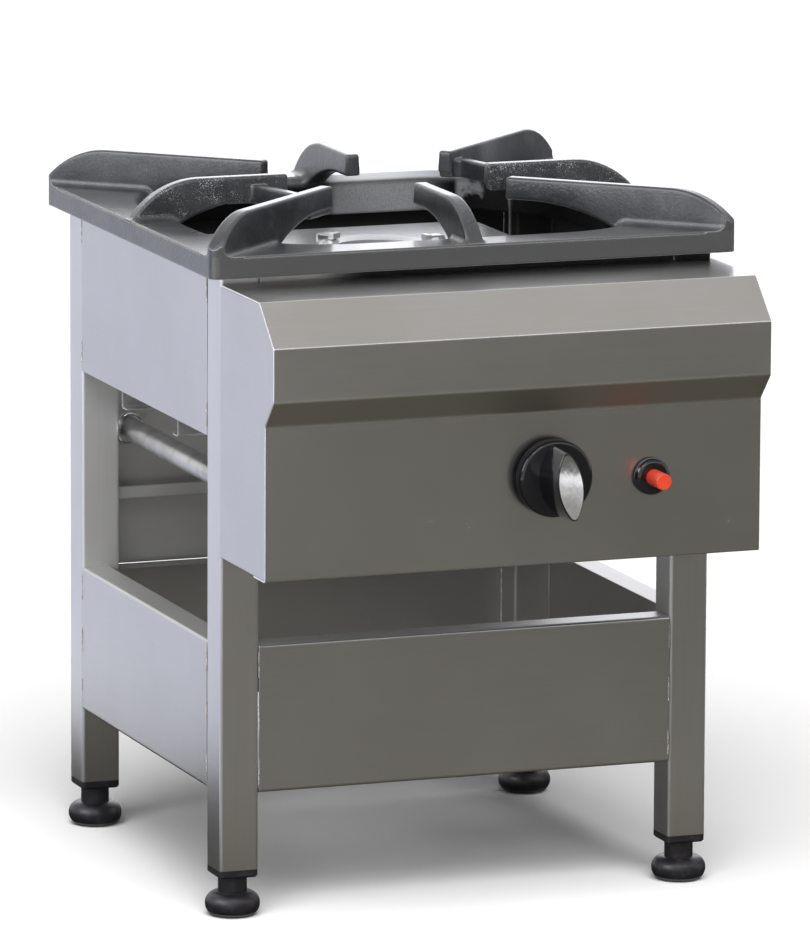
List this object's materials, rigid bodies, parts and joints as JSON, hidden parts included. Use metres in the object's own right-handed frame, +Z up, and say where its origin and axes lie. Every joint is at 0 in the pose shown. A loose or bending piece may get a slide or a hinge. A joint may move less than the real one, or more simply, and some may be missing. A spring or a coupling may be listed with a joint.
{
  "type": "floor gas stove",
  "caption": "Low single-burner gas stove on a square-tube steel stand, with a lift-off cast pan support, a push-and-turn tap knob and a piezo button.",
  "frame": {"origin": "on the floor under the middle of the overall box", "axes": "+X to the user's right, +Y to the back where the gas comes in, +Z up"},
  "size_m": [0.41, 0.506, 0.5237],
  "materials": {
    "brushed_steel": "satin stainless sheet and tube",
    "plain_steel": "plain mill-finish sheet",
    "bright_steel": "bright rolled sheet",
    "chrome": "polished",
    "cast_iron": "pebbled black enamel, worn grey at the edges",
    "burner_iron": "bare casting, heat browned",
    "pipe_steel": "drawn tube",
    "brass": "turned",
    "copper": "drawn copper tube",
    "black_rubber": "satin moulded",
    "black_plastic": "glossy moulded",
    "red_plastic": "glossy moulded",
    "white_ceramic": "glazed ceramic",
    "lead_sleeve": "sleeved wire"
  },
  "bodies": {
    "stand": {"apron_front": "brushed_steel", "apron_left": "brushed_steel", "apron_rear": "brushed_steel", "apron_right": "brushed_steel", "burner_body": "burner_iron", "burner_bolt": "pipe_steel", "burner_plate": "bright_steel", "burner_support": "plain_steel", "cheek_screws": "chrome", "control_box_cheek_left": "brushed_steel", "control_box_cheek_right": "brushed_steel", "control_box_front": "brushed_steel", "electrode_bracket": "plain_steel", "feed_nuts": "brass", "feed_tube": "copper", "flame_sensor": "pipe_steel", "foot_cap_front_left": "black_rubber", "foot_cap_front_right": "black_rubber", "foot_cap_rear_left": "black_rubber", "foot_cap_rear_right": "black_rubber", "front_elbow": "pipe_steel", "front_rail": "brushed_steel", "gas_valve": "brass", "igniter_body": "black_plastic", "igniter_nut": "black_plastic", "injector": "brass", "injector_bracket": "plain_steel", "injector_holder": "brass", "inlet_locknut": "brass", "inlet_pipe": "pipe_steel", "inlet_union": "chrome", "leg_front_left": "brushed_steel", "leg_front_right": "brushed_steel", "leg_rear_left": "brushed_steel", "leg_rear_right": "brushed_steel", "manifold_pipe": "pipe_steel", "manifold_plug": "pipe_steel", "plate_ring": "chrome", "plate_strap_left": "plain_steel", "plate_strap_right": "plain_steel", "rear_panel": "brushed_steel", "ring_clips": "chrome", "sensor_bracket": "plain_steel", "sensor_lead": "lead_sleeve", "side_panel_left": "brushed_steel", "side_panel_right": "brushed_steel", "spark_electrode": "white_ceramic", "spark_lead": "lead_sleeve"},
    "pan_support": {"pan_support": "cast_iron"},
    "burner_crown": {"burner_crown": "burner_iron"},
    "air_shutter": {"air_shutter": "pipe_steel"},
    "tap_rod": {"valve_push_rod": "pipe_steel"},
    "knob": {"knob": "black_plastic", "knob_insert": "chrome", "valve_spindle": "pipe_steel"},
    "igniter_button": {"igniter_button": "red_plastic"},
    "foot_front_left": {"foot_front_left": "black_rubber"},
    "foot_front_right": {"foot_front_right": "black_rubber"},
    "foot_rear_left": {"foot_rear_left": "black_rubber"},
    "foot_rear_right": {"foot_rear_right": "black_rubber"}
  },
  "joints": [
    {"name": "pan_support_lift", "type": "slide", "parent": "stand", "child": "pan_support", "axis": [0, 0, 1], "range_m": [0, 0.06]},
    {"name": "burner_crown_lift", "type": "slide", "parent": "stand", "child": "burner_crown", "axis": [0, 0, 1], "range_m": [0, 0.025]},
    {"name": "air_shutter_slide", "type": "slide", "parent": "stand", "child": "air_shutter", "axis": [0, 1, 0], "range_m": [0, 0.012]},
    {"name": "knob_push", "type": "slide", "parent": "stand", "child": "tap_rod", "axis": [0, 1, 0], "range_m": [0, 0.004], "stiffness_N_per_m": 1200, "springref_m": -0.002},
    {"name": "knob_turn", "type": "hinge", "parent": "tap_rod", "child": "knob", "pos_m": [0.027, -0.225, 0.3355], "axis": [0, -1, 0], "range_deg": [0, 180]},
    {"name": "igniter_push", "type": "slide", "parent": "stand", "child": "igniter_button", "axis": [0, 1, 0], "range_m": [0, 0.008], "stiffness_N_per_m": 800, "springref_m": -0.002},
    {"name": "foot_front_left_screw", "type": "slide", "parent": "stand", "child": "foot_front_left", "axis": [0, 0, -1], "range_m": [0, 0.02]},
    {"name": "foot_front_right_screw", "type": "slide", "parent": "stand", "child": "foot_front_right", "axis": [0, 0, -1], "range_m": [0, 0.02]},
    {"name": "foot_rear_left_screw", "type": "slide", "parent": "stand", "child": "foot_rear_left", "axis": [0, 0, -1], "range_m": [0, 0.02]},
    {"name": "foot_rear_right_screw", "type": "slide", "parent": "stand", "child": "foot_rear_right", "axis": [0, 0, -1], "range_m": [0, 0.02]}
  ]
}
